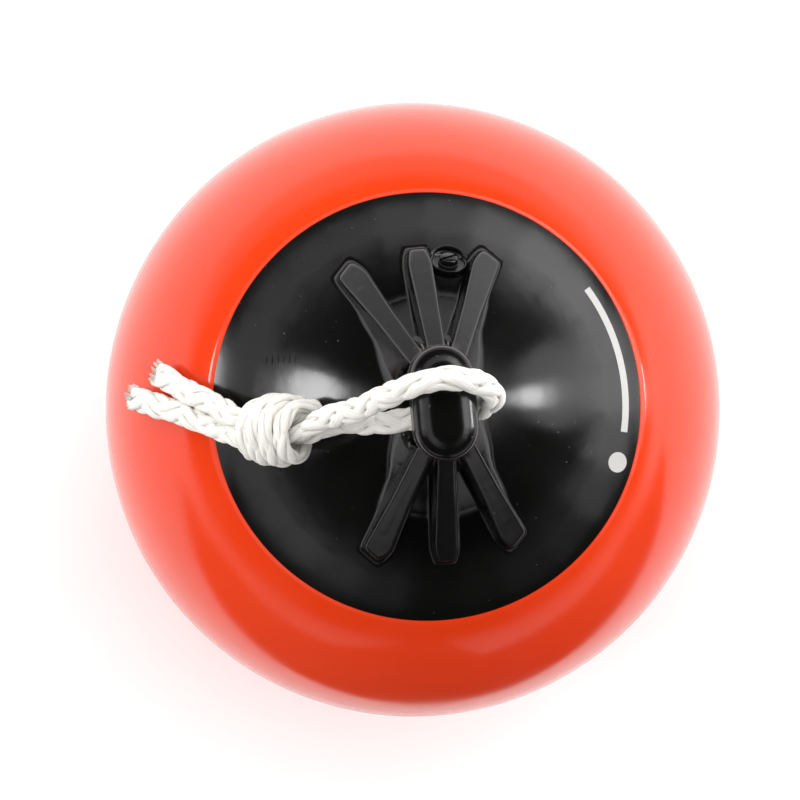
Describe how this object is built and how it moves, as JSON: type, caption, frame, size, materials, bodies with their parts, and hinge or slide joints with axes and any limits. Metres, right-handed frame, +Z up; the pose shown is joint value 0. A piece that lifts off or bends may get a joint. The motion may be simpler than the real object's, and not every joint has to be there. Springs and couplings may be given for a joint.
{
  "type": "inflatable mooring buoy",
  "caption": "Round inflatable vinyl buoy with a ribbed rope eye on top, a slotted inflation valve and a short doubled rope knotted through the eye.",
  "frame": {"origin": "centre of the flat foot under the ball, on the surface that the buoy stands on", "axes": "+Z up through the rope eye, +Y along the eye's bar, +X through the eye's window, away from the knot"},
  "size_m": [0.2799, 0.28, 0.3617],
  "materials": {
    "ball_vinyl": "glossy inflated vinyl",
    "cap_vinyl": "glossy moulded vinyl, satin on the ribs",
    "valve_plastic": "glossy moulded plastic",
    "seal_rubber": "matte rubber",
    "rope_fibre": "braided white fibre, loose at the cut ends"
  },
  "bodies": {
    "buoy": {"ball_shell": "ball_vinyl", "eye_cap": "cap_vinyl", "valve_body": "valve_plastic"},
    "rope": {"rope_loop": "rope_fibre", "rope_knot": "rope_fibre", "rope_tail_a": "rope_fibre", "rope_tail_b": "rope_fibre"},
    "seal": {"valve_seal": "seal_rubber"},
    "screw": {"valve_screw": "valve_plastic"}
  },
  "joints": [
    {"name": "rope_swing", "type": "hinge", "parent": "buoy", "child": "rope", "pos_m": [0, 0, 0.3395], "axis": [0, 1, 0], "range_deg": [0, 180]},
    {"name": "valve_lift", "type": "slide", "parent": "buoy", "child": "seal", "axis": [0.1658, 0.7479, 0.6428], "range_m": [0, 0.008]},
    {"name": "valve_turn", "type": "hinge", "parent": "seal", "child": "screw", "pos_m": [0.01277, 0.0576, 0.26838], "axis": [0.1658, 0.7479, 0.6428], "range_deg": [0, 1920]}
  ],
  "couplings": [
    {"joint": "valve_turn", "follows": "valve_lift", "rad_per_m": 4188.8}
  ]
}
